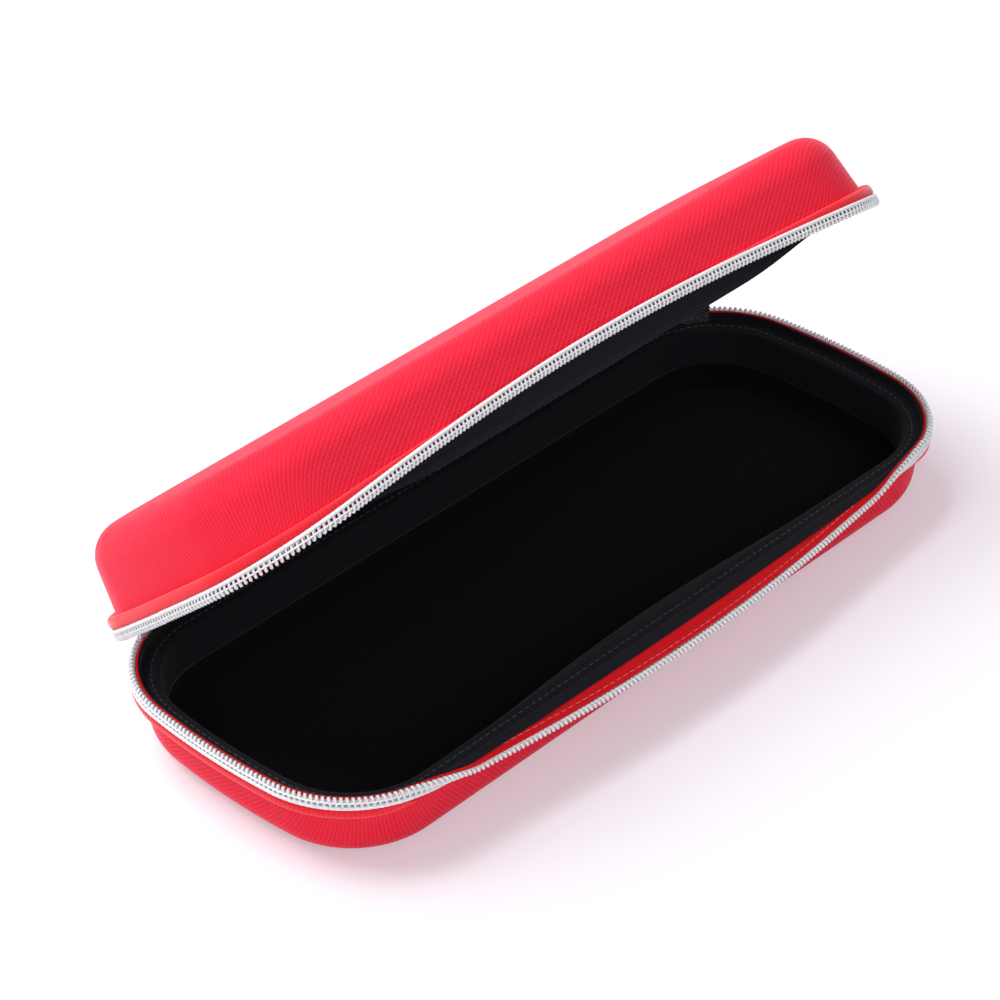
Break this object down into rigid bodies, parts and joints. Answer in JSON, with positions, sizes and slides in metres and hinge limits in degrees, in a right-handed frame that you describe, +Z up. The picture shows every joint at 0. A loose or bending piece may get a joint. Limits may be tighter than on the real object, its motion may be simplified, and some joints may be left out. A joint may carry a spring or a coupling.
{
  "type": "zip hard case",
  "caption": "Moulded clamshell case in red ribbed fabric over EVA foam, black inside, with a fabric hinge along the back and a coil zip round the rest of the rim.",
  "frame": {"origin": "centre of the base's underside", "axes": "+X along the length, +Y towards the hinge, +Z up"},
  "size_m": [0.278, 0.1212, 0.1124],
  "materials": {
    "cover_fabric": "ribbed weave, matt",
    "eva_foam": "moulded EVA foam sheet",
    "lining_fabric": "brushed knit, matt",
    "flange_fabric": "folded fabric edge, matt",
    "binding_fabric": "woven edging, matt",
    "tape_fabric": "woven zip tape",
    "zip_coil": "satin filament",
    "stop_metal": "pressed, plated",
    "hinge_fabric": "ribbed weave, matt",
    "facing_fabric": "brushed knit, matt",
    "slider_metal": "die-cast and plated"
  },
  "bodies": {
    "base": {"base_cover": "cover_fabric", "base_shell": "eva_foam", "base_lining": "lining_fabric", "base_rim_flange": "flange_fabric", "base_rim_binding": "binding_fabric", "base_zip_tape": "tape_fabric", "base_zip_teeth": "zip_coil", "base_zip_stops": "stop_metal", "base_hinge_leaf": "hinge_fabric", "base_hinge_facing": "facing_fabric"},
    "lid": {"lid_cover": "cover_fabric", "lid_shell": "eva_foam", "lid_lining": "lining_fabric", "lid_rim_flange": "flange_fabric", "lid_rim_binding": "binding_fabric", "lid_zip_tape": "tape_fabric", "lid_zip_teeth": "zip_coil", "lid_zip_stops": "stop_metal", "lid_hinge_leaf": "hinge_fabric", "lid_hinge_facing": "facing_fabric"},
    "slider": {"zip_slider": "slider_metal"},
    "pull": {"zip_pull": "slider_metal"}
  },
  "joints": [
    {"name": "lid_hinge", "type": "hinge", "parent": "base", "child": "lid", "pos_m": [0, 0.0529, 0.027], "axis": [-1, 0, 0], "range_deg": [-40.5, 74.5]},
    {"name": "slider_run", "type": "hinge", "parent": "base", "child": "slider", "pos_m": [0.09904, 0.02, 0.027], "axis": [0, 0, -1], "range_deg": [0, 40]},
    {"name": "pull_swing", "type": "hinge", "parent": "slider", "child": "pull", "pos_m": [0.12011, 0.05066, 0.027], "axis": [0, 0, 1], "range_deg": [-45, 60]}
  ]
}
